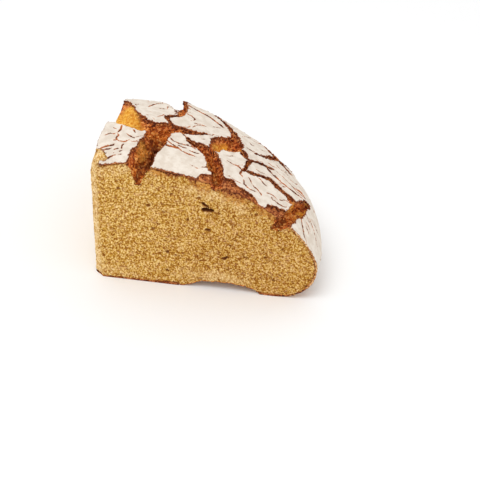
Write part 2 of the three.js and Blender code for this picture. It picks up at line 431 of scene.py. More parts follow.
on_plate = ((depth < CRUST_SKIN) | is_sloping) & ~is_base & (bare(places) > 0)
corners = np.zeros(len(crumb.data.polygons) * 4, np.int32)
crumb.data.polygons.foreach_get("vertices", corners)
corners = corners.reshape(-1, 4)
face_way = read(crumb, "polygons", "normal")
faces_out = (face_way * crust_way[corners[:, 0]]).sum(1) > 0.5
plate_faces = on_plate[corners].all(1) & faces_out
bpy.context.tool_settings.mesh_select_mode = (False, False, True)
select_faces(crumb, plate_faces)
bpy.ops.mesh.duplicate()
bpy.ops.mesh.separate(type="SELECTED")
mode("OBJECT")
plates = next(o for o in bpy.context.selected_objects if o is not crumb)
choose(plates)
bpy.ops.mesh.separate(type="LOOSE")
kept = []
for loose in list(bpy.context.selected_objects):
    if sum(face.area for face in loose.data.polygons) < SMALLEST_PLATE * MM * MM:
        bpy.data.objects.remove(loose)
    else:
        kept.append(loose)
for loose in kept:
    is_far = places_of(loose)[:, 1].mean() > FAR_PLATES
    note(loose, "far", np.full(len(loose.data.vertices), float(is_far)))
plates = join(kept)
plates.name = "crust_plates"
edit_all()
bpy.ops.mesh.region_to_loop()
bpy.ops.mesh.vertices_smooth(factor=0.5, repeat=4)
mode("OBJECT")
print(len(kept), "plates with", len(plates.data.vertices), "points")

# %% [markdown]
# Flour on a swelling loaf cracks before it bursts, so fine brown cracks run over every plate. Each
# is a route of a few points over the crust with its width. Hair cracks too many to list are spread
# between them by hashed numbers. All are cut into the plates as grooves, and the distance to the
# nearest one is kept for the finish.

# %% Cracks in the plates
NEAR_CRACK = 0.7                   # how far from a crack the sheet is made finer
OPEN_SHARE = 0.41                  # how much of its width a crack opens to each side of its route
LIP_LIFT, LIP_WIDTH = 0.6, 4       # how far a plate's edge stands up, and over how many mm
FOOT_OF_RIM = (122, 132)           # the x between which the front plates' pared edge widens
FINE_CRACKS = {                    # for each plate: width in mm with its worn lips, then the route in plan
    "corner": [
        (1.6, [(11, 35), (11, 30), (10, 26)]), (1.0, [(10, 26), (8, 24), (6, 24), (4.5, 22), (3, 21)]),
        (1.3, [(10, 26), (12, 23), (11, 20), (12, 18), (10, 17), (9, 16)]),
        (1.0, [(13, 17.5), (17, 16.5), (20, 19.5), (22, 18.5), (26, 18.5)]),
        (1.0, [(16.5, 25.5), (20.5, 23.5), (22.5, 22.5), (24.5, 25.5), (27, 27)]),
        (1.5, [(12, 14), (11, 12.5), (7.5, 11.5), (4, 9.5)]), (1.0, [(18, 14.5), (17, 12.5), (17, 9.5)]),
        (1.0, [(5.5, 8), (9, 9), (10.5, 10)]), (0.8, [(12.5, 9), (15, 9.5)]),
        (1.0, [(19, 32.5), (20, 31.5), (21.5, 30)]), (0.8, [(12.5, 6.5), (14, 7)]),
        (1.0, [(8.5, 4), (10, 3.3), (13, 5), (14.5, 5)]), (0.9, [(15.5, 5.5), (18.5, 5.5)]),
        (0.9, [(16, 7), (17.5, 8)]), (0.8, [(6, 31), (8, 30)]),
    ],
    "tall": [
        (1.5, [(16.5, 56.5), (18, 54), (20, 50)]), (0.9, [(22, 57), (23.5, 55.5)]),
        (1.1, [(25.5, 55.5), (27, 54), (28, 53)]), (1.0, [(27, 50), (28.5, 47.5)]),
        (0.8, [(22, 63.5), (24, 62)]), (1.4, [(19.5, 72), (19.5, 78), (21.5, 84), (23, 92), (23.5, 100)]),
        (1.0, [(35, 64), (38, 65.5), (41.5, 68)]),
    ],
    "crown": [
        (1.4, [(44, 77), (47, 77.5), (49, 76), (50.5, 73.5)]), (1.1, [(40, 71), (42.5, 69.5)]),
        (1.6, [(58.5, 51), (60.5, 53), (61.5, 55), (63.5, 56.5), (65, 58.5)]),
        (2.6, [(41, 90), (45, 91.5), (51, 91), (57, 89), (63.5, 85), (69, 80)]),
        (0.9, [(51.5, 67.5), (55, 69), (59, 69.5)]), (0.8, [(63, 73.5), (67, 77.5)]),
    ],
    "middle": [
        (1.1, [(48, 44.5), (49.5, 43.5), (51.5, 42), (53, 39.5)]),
        (1.0, [(42, 34), (43.5, 33), (45.5, 32)]), (1.0, [(49.5, 29.5), (51, 30.5)]),
        (0.8, [(60, 41), (61, 41.5)]), (0.8, [(61.5, 46), (64, 48.5)]),
        (2.8, [(41, 22), (45, 23), (48, 24), (51, 24)]), (1.4, [(42, 28), (45.5, 26.5), (49, 25.5)]),
        (1.4, [(49, 25.5), (52.5, 23.5), (56.5, 21), (60, 21), (64, 20.5)]),
        (1.2, [(42.5, 33), (46, 31), (51, 30), (55.5, 31.5), (61.5, 28.5)]),
        (1.0, [(50, 27.5), (53.5, 27), (55.5, 27.5)]), (1.0, [(58, 25), (61, 24), (64, 24.5)]),
        (0.9, [(62.5, 9.2), (65, 9), (68, 9.2)]), (0.9, [(69.5, 10.8), (73, 12.5)]),
    ],
    "shoulder": [
        (1.2, [(85.5, 30), (88.5, 28.5), (92, 26), (92.5, 23.5), (92.5, 21), (93.5, 19)]),
        (0.9, [(92, 26), (93, 29)]), (0.9, [(95, 16.5), (96.5, 12), (98.5, 11), (100.5, 10.5)]),
        (1.2, [(97.5, 21.5), (99, 19.5), (101.5, 15.5), (103, 14), (105, 14), (107, 12), (109, 9)]),
        (1.2, [(84, 11.5), (87, 13), (90.5, 11), (95.5, 11.5)]),
        (0.8, [(103.5, 25.5), (107, 23.5), (109.5, 23)]), (0.9, [(110, 16), (113.5, 17.5), (117, 16.5)]),
        (1.4, [(113.5, 14.5), (115, 13), (118.5, 12.5), (122, 13.5), (123.5, 15)]),
        (1.4, [(115, 7), (116, 3.5), (117, 3)]),
    ],
    "back": [
        (0.9, [(108, 62.5), (110.5, 60.5), (113, 59), (115.5, 60.5)]),
        (0.9, [(87.5, 78), (89, 75.5), (90.5, 76.5)]), (0.9, [(113, 39.5), (116.5, 37)]),
        (0.9, [(104, 49), (108.5, 50), (111, 49), (114.5, 47), (119, 44.5), (123, 42.5), (125, 44)]),
        (1.9, [(104.5, 46.5), (109.5, 42), (116, 37.5), (123, 36.5), (130, 38.5)]),
        (1.0, [(112, 60), (118, 58)]),
        (2.6, [(125, 44), (127, 46.5), (128.5, 47), (131, 45)]),
        (1.1, [(87.5, 65), (89.5, 64.5), (92, 62), (93.5, 61)]), (1.0, [(123, 52), (124, 56.5)]),
        (1.0, [(60, 110), (64, 106), (70, 105)]), (1.1, [(30, 128), (36, 124), (38, 118), (44, 116)]),
        (0.9, [(84, 98), (90, 96), (92, 91)]), (1.0, [(12, 112), (14, 104), (10, 98)]),
        (1.0, [(50, 128), (56, 126), (62, 128)]), (0.9, [(12, 132), (18, 130), (22, 134)]),
    ],
    "rim": [
        (1.1, [(132, 16.5), (133, 14.5), (134.5, 11.5)]),
        (1.0, [(135.5, 24.5), (136.5, 24.5), (137.5, 23)]),
        (1.2, [(138, 28.5), (141, 28), (142.5, 27.5)]), (1.0, [(136.5, 14.5), (138, 13), (139, 11)]),
        (0.9, [(136.5, 50.5), (137.5, 45)]), (1.2, [(133, 14.5), (135.5, 9), (138, 4), (140, 0.5)]),
        (1.3, [(137, 26.5), (140, 23), (142, 18), (144.5, 14)]),
        (1.0, [(135.5, 19.5), (137.5, 18.5), (139, 15)]),
    ],
}


def crack_gap(places, cracks):
    """Distance in mm from the edge of the nearest crack, below 0 inside it."""
    gap = np.full(len(places), 50.0)
    for width, route in cracks:
        line = crust_top(*np.array(route, float).T)
        ends = np.append(0, np.cumsum(np.linalg.norm(np.diff(line, axis=0), axis=1)))
        for a, b, start, end in zip(line, line[1:], ends, ends[1:]):
            away, along = from_stretch(places, a, b)
            share = (start + (end - start) * along) / ends[-1]
            gap = np.minimum(gap, away - OPEN_SHARE * width * (1 - 0.5 * (2 * share - 1) ** 4))
    return gap


def rim_gap(piece):
    """Distance in mm of every point of an open sheet from the sheet's edge."""
    edge_of_loop = np.zeros(len(piece.data.loops), np.int32)
    piece.data.loops.foreach_get("edge_index", edge_of_loop)
    ends = np.zeros(len(piece.data.edges) * 2, np.int32)
    piece.data.edges.foreach_get("vertices", ends)
    lone = np.bincount(edge_of_loop, minlength=len(piece.data.edges)) == 1
    rim = np.unique(ends.reshape(-1, 2)[lone])
    places = places_of(piece)
    tree = KDTree(len(rim))
    for index in rim:
        tree.insert(places[index], index)
    tree.balance()
    return np.array([tree.find(point)[2] for point in places])


def all_of_face(piece, flags):
    """For each face, whether the flag is set on all its points."""
    starts = np.zeros(len(piece.data.polygons), np.int32)
    piece.data.polygons.foreach_get("loop_start", starts)
    points = np.zeros(len(piece.data.loops), np.int32)
    piece.data.loops.foreach_get("vertex_index", points)
    return np.minimum.reduceat(flags[points], starts)


HAIR_STEP = 9                      # spacing of the hair cracks, outwards and around
HAIR_SHARE = 0.55                  # how many of the places for one are taken
LISTED = (76, 50)                  # up to this x and y all cracks are in the list


def hair_cracks():
    """Short cracks that run outwards and down the loaf, spread by hashed numbers."""
    cracks = []
    for ring in range(3, int(LOAF_RADIUS / HAIR_STEP)):
        for turn in range(int(np.pi / 2 * ring) + 1):
            cell = np.array([[ring, turn, 7]])
            chance, shift, swing, size = (hashed(cell, 90 + k)[0] for k in range(4))
            radius = (ring + shift - 0.5) * HAIR_STEP
            angle = (turn + swing) / ring
            long = HAIR_STEP * (0.4 + 0.9 * size)
            route = [(radius + share * long, angle + 0.05 * (hashed(cell, 95 + k)[0] - 0.5))
                     for k, share in enumerate((0, 0.5, 1))]
            plan = [(LOAF_AXIS[0] + r * np.cos(a), LOAF_AXIS[1] + r * np.sin(a)) for r, a in route]
            if chance < HAIR_SHARE and not (plan[0][0] < LISTED[0] and plan[0][1] < LISTED[1]):
                cracks.append((0.6 + 0.4 * swing, plan))
    return cracks


ALL_CRACKS = sum(FINE_CRACKS.values(), []) + hair_cracks()
print(len(ALL_CRACKS), "cracks in the plates")


def gap_of_cracks(places):
    """Distance from the edge of the nearest crack, with the routes made crooked."""
    wiggle = places + 0.6 * way_lumps(places, 5, 41) + 0.35 * way_lumps(places, 1.8, 44)
    return crack_gap(wiggle, ALL_CRACKS)


select_faces(plates, all_of_face(plates, gap_of_cracks(places_of(plates)) < NEAR_CRACK))
bpy.ops.mesh.subdivide(number_cuts=1)
mode("OBJECT")
places = places_of(plates)
_, crust_out = crust_depth(places)
rim = rim_gap(plates)
behind_plate = behind_cuts(places)
cracks = gap_of_cracks(places)
lift = LIP_LIFT * (1 - ease_in(rim, 0, LIP_WIDTH)) * ease_in(behind_plate, 1, 5)
lift += 0.25 * lumps(places, 9, 51) + 0.12 * lumps(places, 3, 52)
place(plates, places + lift[:, None] * crust_out)
note(plates, "rim", rim)
foot_of_rim = ease_in(places[:, 0], *FOOT_OF_RIM) * (places[:, 1] < 5)
note(plates, "cut", (1 - ease_in(behind_plate, 0.6, 2.0)) * (1 + foot_of_rim))
note(plates, "crack", cracks)

# %% [markdown]
# A sheet without thickness would show nothing where a plate's edge stands free, so the plates are
# given the thickness of a real crust. The grooves are pressed into the upper side alone, and the
# sides and the underside get the toasted finish.

# %% Thickness and grooves
PLATE_THICKNESS = 1.2
GROOVE_DEPTH = 0.8
PLATE_TRIANGLES = 190000           # for each of the two pieces, at most
UNDERSIDE_KEPT = 0.06              # share of its triangles that the underside keeps

for name in ("floured_crust", "toasted_edge"):
    plates.data.materials.append(bpy.data.materials.new(name))
edit_all()
bpy.ops.mesh.extrude_region()
mode("OBJECT")
is_top = np.zeros(len(plates.data.vertices), bool)
plates.data.vertices.foreach_get("select", is_top)
places = places_of(plates)
_, crust_out = crust_depth(places)
crack_here, rim_here = noted(plates, "crack"), noted(plates, "rim")
groove = GROOVE_DEPTH * (1 - ease_in(crack_here, -0.5, 0.3))
down = np.where(is_top, groove, PLATE_THICKNESS * (1 + 0.3 * lumps(places, 4, 61)))
ragged = 0.4 * way_lumps(places, 1.3, 62) * (1 - ease_in(rim_here, 0, 1))[:, None]
place(plates, places - down[:, None] * crust_out + ragged)
toasted = ~all_of_face(plates, is_top)
plates.data.polygons.foreach_set("material_index", toasted.astype(np.int32))
edit_all()
bpy.ops.mesh.normals_make_consistent(inside=False)
mode("OBJECT")


def triangles(piece):
    """How many triangles the piece's faces make up."""
    piece.data.calc_loop_triangles()
    return len(piece.data.loop_triangles)


def thin_faces(piece, wanted, kept):
    """Collapses edges of these faces alone until only this share of them is left."""
    select_faces(piece, wanted)
    bpy.ops.mesh.decimate(ratio=kept)
    mode("OBJECT")


def thin_out(piece, most):
    """Collapses the flattest edges until the piece has no more than so many triangles."""
    if triangles(piece) > most:
        finish_with(piece, "TRIANGULATE")
        finish_with(piece, "DECIMATE", ratio=most / triangles(piece))


print("plates:", triangles(plates), "triangles")
thin_faces(plates, all_of_face(plates, ~is_top), UNDERSIDE_KEPT)
print("with plain undersides:", triangles(plates))
select_faces(plates, all_of_face(plates, noted(plates, "far") > 0.5))
bpy.ops.mesh.separate(type="SELECTED")
mode("OBJECT")
far_plates = next(o for o in bpy.context.selected_objects if o is not plates)
far_plates.name = "far_crust_plates"
for piece in (plates, far_plates):
    thin_out(piece, PLATE_TRIANGLES)
    print(piece.name, triangles(piece), "triangles")

# %% [markdown]
# Under the plates the body is pressed in, so that it never shows through them, and where the flour
# is gone it is left a little rough. The walls of the splits are torn bread: they get coarse lumps,
# except where they baked to a smooth gold.

# %% Bed, bare crust and torn walls
BED_DEPTH = 0.9
GOLD_CALM = 0.75                   # how much smoother the golden walls are
TORN_HOLES = (3.6, 0.6, 1.8, 74)   # spacing, smallest and largest radius, seed
TORN_PORES = (1.9, 0.4, 0.9, 76)

places = places_of(crumb)
bare_here = bare(places)
reach_of_bed = 1 - ease_in(depth, 0.6, 2.0)
bed = np.where(bare_here > 0, BED_DEPTH, 0.3 + 0.5 * np.abs(lumps(places, 3, 71)))
pressed = bed * reach_of_bed * ~is_base
place(crumb, places - pressed[:, None] * crust_way)
places = places_of(crumb)
outwards = read(crumb, "vertices", "normal")
wall = np.maximum(ease_in(depth, 0.6, 1.6), 0.8 * (bare_here < 0)) * ease_in(behind, 0.1, 1.0)
wall *= ~is_base * (1 - GOLD_CALM * gold)
on = wall > 0
torn = 0.7 * lumps(places[on], 5.5, 72) + 0.6 * lumps(places[on], 2.4, 73)
torn += 0.5 * lumps(places[on], 1.3, 75) - 0.6
torn -= 0.9 * bubbles(places[on], *TORN_HOLES) + 0.7 * bubbles(places[on], *TORN_PORES)
places[on] += (torn * wall[on])[:, None] * outwards[on]
place_within_cuts(crumb, places)

# %% [markdown]
# A knife opens thousands of bubbles. Round pits of two sizes, each cut from its own grid of
# bubbles, make the sponge, and a third size roughens the crust that the knife went through. Noise
# keeps it all uneven, and the larger holes and the cracks of this slice are put where they are.
# Everything goes inwards, so the cuts stay where the solid has them.

# %% The crumb on the cuts
CAVITIES = [                       # x, z, half length, half height, tilt in degrees, depth
    (74.8, 60.6, 4.4, 1.6, 4, 5.0), (73.5, 64.2, 3.4, 1.2, -28, 3.0), (86.3, 25.1, 3.2, 1.1, 25, 2.2),
    (99.5, 27.7, 3.0, 0.6, -20, 1.6), (74.6, 45.3, 2.6, 1.1, 0, 2.2), (96.9, 42.8, 3.0, 0.9, 0, 1.3),
    (47.7, 24.6, 1.6, 1.4, 0, 2.0), (47.3, 10.3, 1.3, 1.2, 0, 1.8), (71.7, 21.6, 3.6, 0.6, 5, 1.4),
    (63.0, 20.4, 1.8, 0.9, 0, 1.3), (118.1, 12.1, 1.8, 1.1, 0, 1.6), (106.6, 61.6, 1.8, 1.0, -30, 1.6),
    (36.0, 59.4, 1.5, 1.5, 0, 1.8), (61.6, 51.3, 1.1, 1.1, 0, 1.8), (38.8, 42.2, 1.6, 1.2, 0, 1.6),
    (16.6, 69.9, 1.5, 1.2, 0, 1.6), (72.5, 30.3, 1.7, 0.8, 0, 1.4), (82.4, 29.3, 1.8, 0.8, -12, 1.4),
    (139.9, 10.4, 1.6, 1.0, 0, 1.5),
]
BAND = [                           # along a cut, depth of the dark crust, depth of the orange crust
    (0, 0.7, 1.5), (20, 0.8, 1.8), (26, 1.5, 3.5), (36, 1.5, 3), (38, 1.6, 6), (44, 2.2, 6.5),
    (49, 4.5, 6), (56, 4.5, 5.5), (58, 0.9, 1.6), (61, 0.9, 1.6), (63, 3.5, 5), (66, 4, 8), (72, 3, 9),
    (77, 2.5, 7.5), (80, 3.5, 6.5), (84, 5, 8), (90, 5, 8.5), (96, 4, 8), (101, 0.9, 2.2), (105, 0.9, 3),
    (109, 3, 8), (113, 1.4, 4), (116, 2.2, 6), (123, 2.2, 6), (127, 1, 3), (133, 0.5, 1.6),
    (150, 0.4, 1.2),
]
FOOT = (3, 12)                     # heights between which the crust at a cut grows to its full depth
FINE_PITS = (2.1, 0.35, 1.0, 82)   # spacing, smallest and largest radius, seed
WIDE_PITS = (4.6, 0.5, 1.4, 86)
CRUST_PITS = (2.0, 0.5, 1.0, 93)
HOLE_REACH = 2                     # how far behind the front cut they open it
CUT_CRACKS = [                     # width and depth, then the route in x and z
    (1.6, 3.0, [(31, 80), (30.5, 77.5), (28.5, 75)]), (1.4, 2.0, [(125, 58.5), (123.5, 55), (121, 50.5)]),
    (1.6, 1.6, [(130.5, 58.5), (128.5, 55)]), (0.9, 1.2, [(49, 84), (50, 81)]),
]

along_cuts, burnt_deep, toast_deep = np.array(BAND).T
along = places[:, 0] + np.where(behind > 0.9 * places[:, 1], 0, places[:, 1])
above_foot = 0.35 + 0.65 * ease_in(places[:, 2], *FOOT)
burnt = depth / (np.interp(along, along_cuts, burnt_deep) * above_foot)
toast = depth / (np.interp(along, along_cuts, toast_deep) * above_foot)
at_cut = 1 - ease_in(behind, 0.05, 0.6)
on = (at_cut > 0) & ~is_base
bent = places[on] + 0.5 * way_lumps(places[on], 2.0, 81)
flatter = bent * np.array([0.85, 0.85, 1.15])
pits = 0.75 * bubbles(flatter, *FINE_PITS)
pits = np.maximum(pits, 0.9 * bubbles(flatter, *WIDE_PITS))
pits += 0.22 * (1 + lumps(bent, 1.1, 90)) + 0.2 * (1 + lumps(bent, 6, 91))
crumbly = 1 - ease_in(toast[on], 0.7, 1.3)
pits += crumbly * (0.5 * (1 + lumps(bent, 2.4, 92)) + 0.7 * bubbles(bent, *CRUST_PITS))
in_front = bent[:, 1] < HOLE_REACH
for x, z, long, high, tilt, deep in CAVITIES:
    turn = np.radians(tilt)
    dx, dz = bent[:, 0] - x, bent[:, 2] - z
    along = (dx * np.cos(turn) + dz * np.sin(turn)) / long
    up = (dz * np.cos(turn) - dx * np.sin(turn)) / high
    pits = np.maximum(pits, deep * np.sqrt(np.clip(1 - along ** 2 - up ** 2, 0, 1)) * in_front)
for width, deep, route in CUT_CRACKS:
    for a, b in zip(np.array(route, float), np.array(route[1:], float)):
        away = from_stretch(bent[:, [0, 2]], a, b)[0] / (width / 2)
        pits = np.maximum(pits, deep * np.clip(1 - away ** 2, 0, 1) * in_front)
sunk = np.zeros(len(places))
sunk[on] = pits * at_cut[on]
outwards = read(crumb, "vertices", "normal")
places = places - sunk[:, None] * outwards
place_within_cuts(crumb, places)

# %% [markdown]
# The finishes need to know how deep each point sank into a bubble, how far below the crust it
# lies, how deep the heat went, and where the gold, the pale streaks, the painted highlight on the
# left corner and the painted shade that darkens the crumb towards the right are. Then the flattest
# edges are collapsed: under the plates and on the base a few large triangles do, and the cuts keep
# theirs.

# %% Notes for the finishes
CRUMB_TRIANGLES = 192000
BED_KEPT = 0.03                    # share of their triangles that base and bed keep
INNER = 9                          # a worn place counts as this far inside
PAINTED_SHADE = (0.24, 10, 100)             # how much painted shade darkens the crumb towards the right, and the x between which it does
PAINTED_HIGHLIGHT_CORNER = (-1, 2.5)            # the x between which the painted highlight on the left corner fades out
PALE_STREAKS = [                   # cream crumb below the crust: where it fades along X, depths, share
    (50, 66, 92, 108, 5.5, 17, 0.9), (-4, 2, 22, 32, 0.6, 11, 0.6),
]

is_crumb = is_cut | worn & (bare_here < 1)
note(crumb, "sunk", sunk)
note(crumb, "bake", depth)
note(crumb, "burnt", burnt + INNER * worn)
note(crumb, "toast", toast + INNER * worn)
note(crumb, "gold", gold)
# painted shade: the crumb on the cuts is darkened towards the right, where less light falls
note(crumb, "dusk", PAINTED_SHADE[0] * ease_in(places[:, 0] - 0.7 * places[:, 1], *PAINTED_SHADE[1:]))
# pale crumb on worn places and streaks, and a painted highlight on the left corner facet, where the light
# from the left falls strongly
pale = np.maximum(0.6 * worn, 1 - ease_in(places[:, 0] - 0.6 * places[:, 1], *PAINTED_HIGHLIGHT_CORNER))
blotch = 0.6 + 0.5 * lumps(places, 6, 97)
for x_low, x_full, x_fading, x_gone, shallow, deep, share in PALE_STREAKS:
    streak = ease_in(depth, shallow, shallow + 2) * (1 - ease_in(depth, 0.5 * deep, deep))
    streak *= ease_in(places[:, 0], x_low, x_full) * (1 - ease_in(places[:, 0], x_fading, x_gone))
    pale = np.maximum(pale, share * blotch * streak * (places[:, 1] < 3))
note(crumb, "pale", pale * is_crumb)
for name in ("yellow_crumb", "torn_bread", "baked_base"):
    crumb.data.materials.append(bpy.data.materials.new(name))
slots = np.where(is_base[corners].sum(1) > 2, 2, np.where(is_crumb[corners].sum(1) > 2, 0, 1))
crumb.data.polygons.foreach_set("material_index", slots.astype(np.int32))
before = triangles(crumb)
is_hidden = is_base | ((depth < CRUST_SKIN) & (bare_here > 1) & (behind > 3))
thin_faces(crumb, is_hidden[corners].all(1), BED_KEPT)
print("crumb:", before, "->", triangles(crumb), "with plain bed and base")
thin_out(crumb, CRUMB_TRIANGLES)
print("crumb:", triangles(crumb), "triangles")

# %% [markdown]
# Collapsing edges folds a face here and there and may cut off a speck. A baker's loaf has neither,
# and a clean mesh is wanted on its own, so the folds are cut out, their small gaps are filled, and
# the specks go.

# %% Heal the meshes
SMALLEST_PART = 100                # points
HEALING_PASSES = 6                 # a filled gap may touch the next, so a few passes are made


def healed(piece):
    """Cuts out folds, fills what that opens, drops specks, and gives back the closed piece."""
    name = piece.name
    choose(piece)
    mode("EDIT")
    bpy.context.tool_settings.mesh_select_mode = (True, False, False)
    for _ in range(HEALING_PASSES):
        bpy.ops.mesh.select_all(action="DESELECT")
        bpy.ops.mesh.select_non_manifold()
        bpy.ops.mesh.delete(type="VERT")
        bpy.ops.mesh.select_all(action="SELECT")
        bpy.ops.mesh.delete_loose()
        bpy.ops.mesh.select_all(action="SELECT")
        bpy.ops.mesh.fill_holes(sides=0)
        bpy.ops.mesh.quads_convert_to_tris()
    mode("OBJECT")
    bpy.ops.mesh.separate(type="LOOSE")
    parts = []
    for part in list(bpy.context.selected_objects):
        if len(part.data.vertices) < SMALLEST_PART:
            bpy.data.objects.remove(part)
        else:
            parts.append(part)
    piece = join(parts)
    bpy.ops.object.shade_smooth()
    piece.name = name
    print(name, "in", len(parts), "parts,", triangles(piece), "triangles")
    return piece


crumb, plates, far_plates = (healed(piece) for piece in (crumb, plates, far_plates))

# %% [markdown]
# Heat, flour and the knife each coloured the bread in their own place. So each finish is a small
# tree of nodes that takes its colours from a ramp, mixes in what the notes on the mesh say, and
# adds a fine relief. All patterns read Object coordinates, which fixes them to the bread at their
# true size. A class wraps the few node kinds in use, so the colours stay easy to read.

# %% Helpers: nodes
def rgb(red, green, blue):
    """A colour as a screen shows it, 0 to 255, turned to the light that the renderer counts with."""
    share = np.array([red, green, blue]) / 255
    return (*np.where(share > 0.04045, ((share + 0.055) / 1.055) ** 2.4, share / 12.92), 1)


class Finish:
    """One material and the few nodes that this bread uses."""

    def __init__(self, name, roughness, specular=0.25):
        self.material = bpy.data.materials[name]
        self.material.use_nodes = True
        self.tree = self.material.node_tree
        self.shader = self.tree.nodes["Principled BSDF"]
        self.shader.inputs["Roughness"].default_value = roughness
        self.shader.inputs["Specular IOR Level"].default_value = specular
        self.where = self.node("ShaderNodeTexCoord").outputs["Object"]

    def node(self, kind, **inputs):
        made = self.tree.nodes.new(kind)
        for name, value in inputs.items():
            self.plug(made.inputs[name.replace("_", " ")], value)
        return made

    def plug(self, socket, value):
        if isinstance(value, bpy.types.NodeSocket):
            self.tree.links.new(value, socket)
        else:
            socket.default_value = value

    def noise(self, size, detail=3.0, rough=0.55):
        """Noise from 0 to 1 with features about size mm across."""
        made = self.node("ShaderNodeTexNoise", Vector=self.where, Scale=1 / (size * MM), Detail=detail,
                         Roughness=rough)
        return made.outputs["Fac"]

    def grains(self, size):
        """A number, mostly from 0 to 1, for each soft, crooked grain about size mm across."""
        crooked = self.node("ShaderNodeTexNoise", Vector=self.where, Scale=1.2 / (size * MM), Detail=2)
        bent = self.node("ShaderNodeVectorMath")
        bent.operation = "MULTIPLY_ADD"
        for socket, value in zip(bent.inputs, (crooked.outputs["Color"], (size * MM,) * 3, self.where)):
            self.plug(socket, value)
        made = self.node("ShaderNodeTexVoronoi", Vector=bent.outputs[0], Scale=1 / (size * MM))
        made.feature = "SMOOTH_F1"
        made.inputs["Smoothness"].default_value = 0.5
        parts = self.node("ShaderNodeSeparateColor", Color=made.outputs["Color"])
        speck = self.fade(self.noise(0.35 * size, 2), 0.3, 0.7, -0.3, 0.3)
        return self.sums("ADD", parts.outputs["Red"], speck)

    def scale(self, value, *colours):
        """Runs through the colours in even steps while the value goes from 0 to 1."""
        made = self.node("ShaderNodeValToRGB", Fac=value)
        ramp = made.color_ramp
        while len(ramp.elements) < len(colours):
            ramp.elements.new(0.5)
        for number, colour in enumerate(colours):
            ramp.elements[number].position = number / (len(colours) - 1)
            ramp.elements[number].color = colour
        return made.outputs["Color"]

    def note(self, name):
        """What the mesh's points were given under this name."""
        made = self.node("ShaderNodeAttribute")
        made.attribute_name = name
        return made.outputs["Fac"]

    def sums(self, kind, first, second, clamp=False):
        made = self.node("ShaderNodeMath")
        made.operation, made.use_clamp = kind, clamp
        self.plug(made.inputs[0], first)
        self.plug(made.inputs[1], second)
        return made.outputs[0]

    def fade(self, value, start, end, low=0.0, high=1.0):
        """low up to start, high from end on."""
        made = self.node("ShaderNodeMapRange", Value=value, From_Min=start, From_Max=end, To_Min=low,
                         To_Max=high)
        made.interpolation_type = "SMOOTHSTEP"
        return made.outputs["Result"]

    def mix(self, share, first, second, kind="MIX"):
        """Two colours in one. The node's colour sockets are 6 and 7, and 2 on its way out."""
        made = self.node("ShaderNodeMix")
        made.data_type, made.blend_type = "RGBA", kind
        self.plug(made.inputs[0], share)
        self.plug(made.inputs[6], first)
        self.plug(made.inputs[7], second)
        return made.outputs[2]

    def bump(self, height, deep):
        """Fine relief, deep mm from 0 to 1."""
        made = self.node("ShaderNodeBump", Height=height, Distance=deep * MM)
        self.plug(self.shader.inputs["Normal"], made.outputs["Normal"])

    def colour(self, value):
        self.plug(self.shader.inputs["Base Color"], value)


# %% [markdown]
# Crumb is a yellow sponge with cream walls between its bubbles and golden-brown pits. Towards the
# crust the heat dried it to orange and then to rust, with an edge that noise keeps uneven. Painted
# shade darkens the pits by how deep they sank and the crumb towards the right, and the left corner
# gets a painted highlight.

# %% Finish: crumb
f = Finish("yellow_crumb", roughness=0.85, specular=0.2)
grain = f.fade(f.noise(1.15, 3, 0.7), 0.36, 0.64)
hue = f.noise(2.2, 3, 0.7)
tone = f.scale(grain, rgb(128, 66, 4), rgb(174, 117, 28), rgb(200, 152, 62),
               rgb(221, 178, 94), rgb(248, 218, 154))
# painted shade: the crumb is multiplied darker towards the right
tone = f.mix(f.note("dusk"), tone, rgb(198, 152, 84), "MULTIPLY")
tone = f.mix(f.fade(hue, 0.54, 0.66, 0, 0.35), tone, rgb(226, 182, 140))
tone = f.mix(f.fade(hue, 0.36, 0.46, 0.3, 0), tone, rgb(206, 160, 58))
tone = f.mix(f.fade(f.noise(1.7, 2), 0.6, 0.68, 0, 0.5), tone, rgb(140, 80, 8))
# painted shade: the pits are made darker the deeper they sank, on top of the shade the renderer gives them
tone = f.mix(f.fade(f.note("sunk"), 0.62, 1.3, 0, 0.75), tone, rgb(132, 70, 12))
tone = f.mix(f.fade(f.note("sunk"), 1.3, 2.1, 0, 0.9), tone, rgb(88, 38, 8))
# the pale crumb of worn places and streaks, which also carries the painted highlight on the left corner
pale = f.mix(grain, rgb(214, 162, 84), rgb(250, 226, 176))
tone = f.mix(f.sums("MULTIPLY", f.note("pale"), f.fade(f.noise(3), 0.3, 0.6)), tone, pale)
rough_edge = f.fade(f.noise(1.6, 4, 0.7), 0.3, 0.7, -0.45, 0.45)
toast = f.sums("ADD", f.note("toast"), rough_edge)
crust = f.grains(1.3)
orange = f.scale(crust, rgb(140, 72, 18), rgb(206, 136, 52), rgb(230, 180, 104))
tone = f.mix(f.fade(toast, 0.55, 1.05, 0.9, 0), tone, orange)
burnt = f.sums("ADD", f.note("burnt"), rough_edge)
rust = f.scale(crust, rgb(70, 26, 10), rgb(128, 60, 24), rgb(204, 134, 72))
tone = f.mix(f.fade(burnt, 0.7, 1.1, 1, 0), tone, rust)
f.colour(tone)
f.bump(f.noise(0.8, 4, 0.7), 0.35)

# %% [markdown]
# Where the crust burst, the bread tore and then baked in the open: scorched at the lips, rusty
# below them, a lighter brown further down, and golden in a few places that opened last. The deepest
# clefts are darkened with painted shade. Grains about a millimetre across carry these colours, as
# on real torn bread.

# %% Finish: torn bread
f = Finish("torn_bread", roughness=0.8)
grain = f.grains(1.3)
rusty = f.scale(grain, rgb(76, 26, 8), rgb(152, 64, 16), rgb(202, 98, 30), rgb(246, 172, 102))
brown = f.scale(grain, rgb(106, 42, 6), rgb(190, 90, 18), rgb(228, 130, 38), rgb(250, 194, 114))
inner = f.sums("ADD", f.note("bake"), f.fade(f.noise(3, 3), 0.35, 0.65, -3, 3))
tone = f.mix(f.fade(inner, 3.5, 8), rusty, brown)
